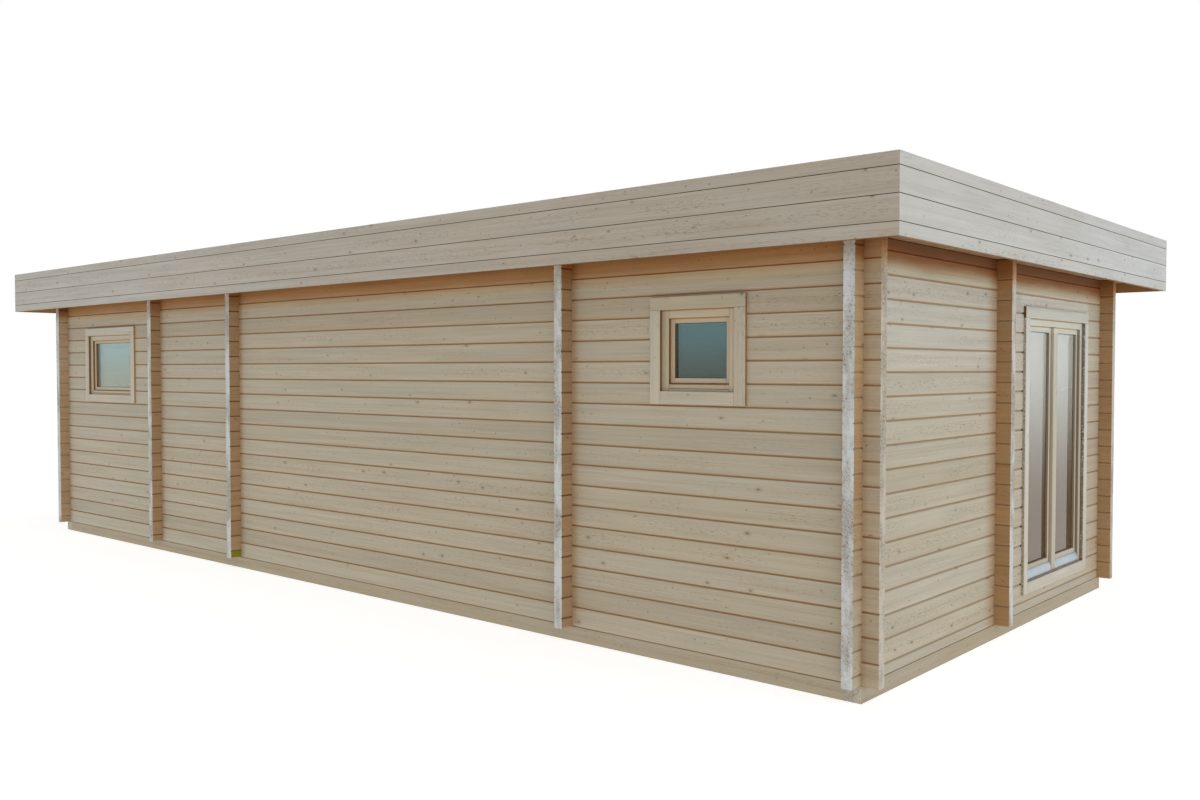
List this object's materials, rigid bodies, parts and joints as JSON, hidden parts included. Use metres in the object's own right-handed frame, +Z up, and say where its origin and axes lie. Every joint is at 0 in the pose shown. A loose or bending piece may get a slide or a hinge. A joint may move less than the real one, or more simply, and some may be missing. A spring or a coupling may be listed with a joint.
{
  "type": "log cabin",
  "caption": "Flat-roofed log cabin with notched log walls, a deep boarded fascia, casement windows in the long walls and a pair of glazed doors in one end wall.",
  "frame": {"origin": "on the ground, under the middle of the cabin's box", "axes": "+X along the cabin towards the end wall with the doors, +Y from the back wall to the front wall, +Z up"},
  "size_m": [10.552, 4.902, 2.855],
  "materials": {
    "log_wood": "planed softwood, untreated",
    "base_wood": "sawn softwood, pressure treated",
    "floor_wood": "planed softwood boards",
    "trim_wood": "planed softwood boards",
    "joinery_wood": "planed laminated softwood",
    "fascia_wood": "planed softwood boards",
    "roof_wood": "planed softwood boards and joists",
    "roof_felt": "mineral roofing felt",
    "glazing": "clear sealed glazing",
    "weather_bar": "anodised",
    "hinge_steel": "zinc plated",
    "handle_white": "white powder coat"
  },
  "bodies": {
    "cabin": {"back_wall": "log_wood", "front_wall": "log_wood", "left_wall": "log_wood", "right_wall_back": "log_wood", "right_wall_front": "log_wood", "right_wall_over": "log_wood", "right_wall_under": "log_wood", "back_cross_log_ends": "log_wood", "right_cross_log_ends": "log_wood", "base_beam_back": "base_wood", "base_beam_front": "base_wood", "base_beam_left": "base_wood", "base_beam_right": "base_wood", "floor_joists": "base_wood", "floor_boards": "floor_wood", "back_window_trim": "trim_wood", "front_window_trim": "trim_wood", "door_trim": "trim_wood", "back_window_frames": "joinery_wood", "back_window_sashes": "joinery_wood", "front_window_frames": "joinery_wood", "front_window_sashes": "joinery_wood", "door_frame": "joinery_wood", "back_fascia": "fascia_wood", "front_fascia": "fascia_wood", "left_fascia": "fascia_wood", "right_fascia": "fascia_wood", "ceiling_boards": "roof_wood", "roof_joists": "roof_wood", "roof_deck": "roof_wood", "roof_felt": "roof_felt", "back_window_panes": "glazing", "front_window_panes": "glazing", "door_frame_hinges": "hinge_steel"},
    "left_door": {"left_door": "joinery_wood", "left_door_glass": "glazing", "left_door_weather_bar": "weather_bar", "left_door_hinges": "hinge_steel", "left_door_handle": "handle_white"},
    "right_door": {"right_door": "joinery_wood", "right_door_post": "joinery_wood", "right_door_glass": "glazing", "right_door_weather_bar": "weather_bar", "right_door_hinges": "hinge_steel"}
  },
  "joints": [
    {"name": "left_door_hinge", "type": "hinge", "parent": "cabin", "child": "left_door", "pos_m": [4.814, 0.4, 1.2], "axis": [0, 0, 1], "range_deg": [0, 90]},
    {"name": "right_door_hinge", "type": "hinge", "parent": "cabin", "child": "right_door", "pos_m": [4.814, 1.539, 1.2], "axis": [0, 0, -1], "range_deg": [0, 90]}
  ]
}
